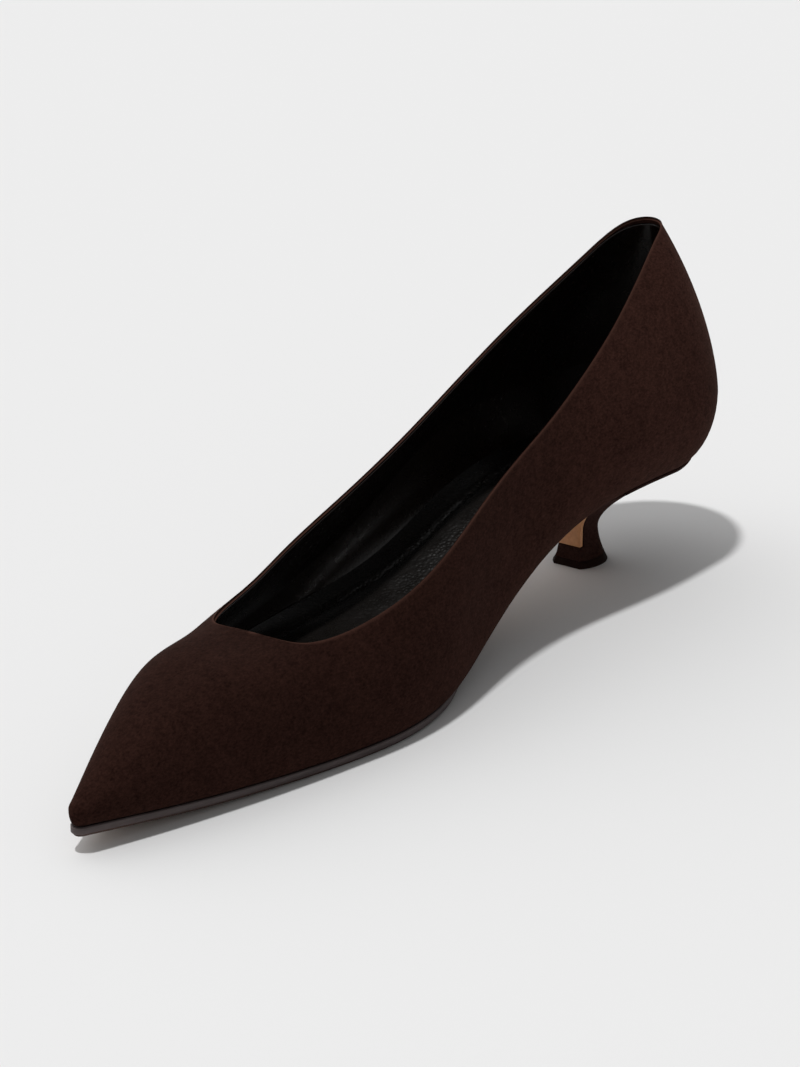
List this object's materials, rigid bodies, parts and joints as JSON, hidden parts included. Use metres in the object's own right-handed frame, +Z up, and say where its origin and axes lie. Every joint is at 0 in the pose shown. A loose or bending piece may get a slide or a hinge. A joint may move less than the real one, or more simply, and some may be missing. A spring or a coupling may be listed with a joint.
{
  "type": "pointed toe pump",
  "caption": "Right shoe with a pointed toe, a low flared heel, an open collar and a thin flat-edged sole that arches up to the heel.",
  "frame": {"origin": "centre of the heel's contact with the floor", "axes": "+Z up, -Y towards the toe, +X towards the medial side of this right shoe"},
  "size_m": [0.0679, 0.272, 0.092],
  "materials": {
    "suede": "fine brushed suede, matte",
    "heel_suede": "fine brushed suede, matte",
    "sole_leather": "painted edge, satin",
    "sock_leather": "pebbled, semi-gloss",
    "tan_leather": "smooth, satin",
    "lift": "matte"
  },
  "bodies": {
    "root": {"upper": "suede", "outsole": "sole_leather", "insole": "sock_leather", "heel": "heel_suede", "heel_breast": "tan_leather", "top_lift": "lift"}
  },
  "joints": []
}
